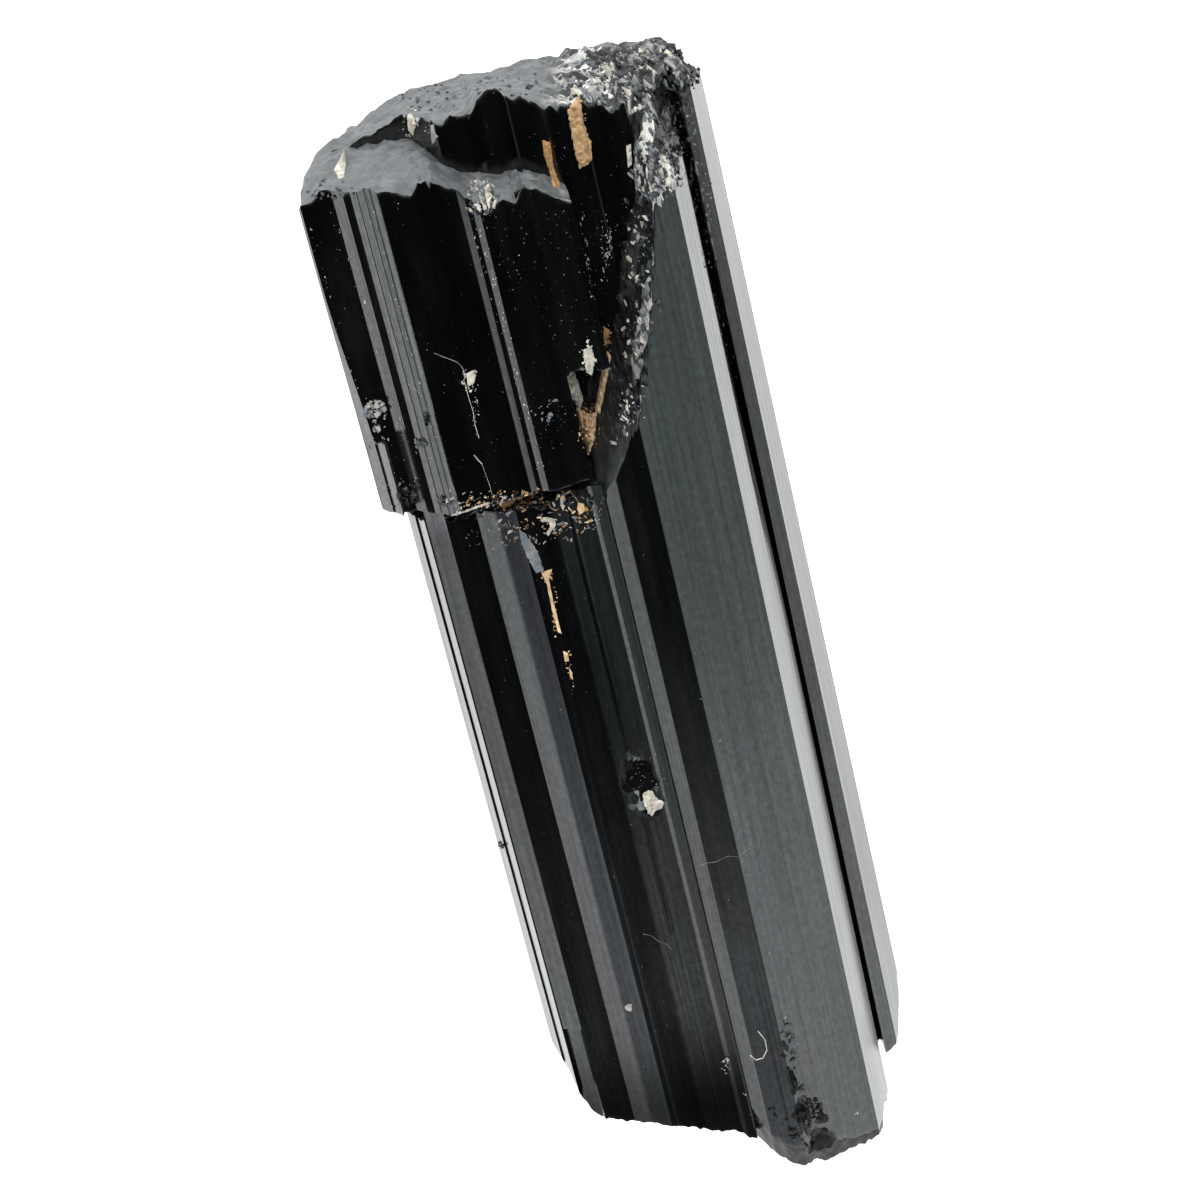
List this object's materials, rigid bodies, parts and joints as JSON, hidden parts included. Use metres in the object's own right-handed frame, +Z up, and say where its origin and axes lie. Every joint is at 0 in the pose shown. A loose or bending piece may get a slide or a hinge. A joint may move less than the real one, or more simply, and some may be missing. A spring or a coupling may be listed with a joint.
{
  "type": "tourmaline crystal",
  "caption": "Black tourmaline crystal, a bundle of striated prisms grown together, with a stepped block, a slanting break and rough broken ends, lying on a flat prism face.",
  "frame": {"origin": "Centre of the rectangle that the crystal covers, on the plane of the prism face that it rests on.", "axes": "+Y runs along the crystal's length to its broken upper end, +X to the right seen from the front with that end away, +Z up from the rest face to the striated front."},
  "size_m": [0.0204, 0.0604, 0.0136],
  "materials": {
    "black_tourmaline": "Opaque black crystal: glassy, finely striated prism faces and dull grey broken ends.",
    "ochre_crust": "Dull earthy ochre and orange-brown infill in the cleft and the grooves.",
    "pale_grains": "Dull cream and white mineral grains, dust and a lint fibre on the surface."
  },
  "bodies": {
    "root": {"crystal": "black_tourmaline"}
  },
  "joints": []
}
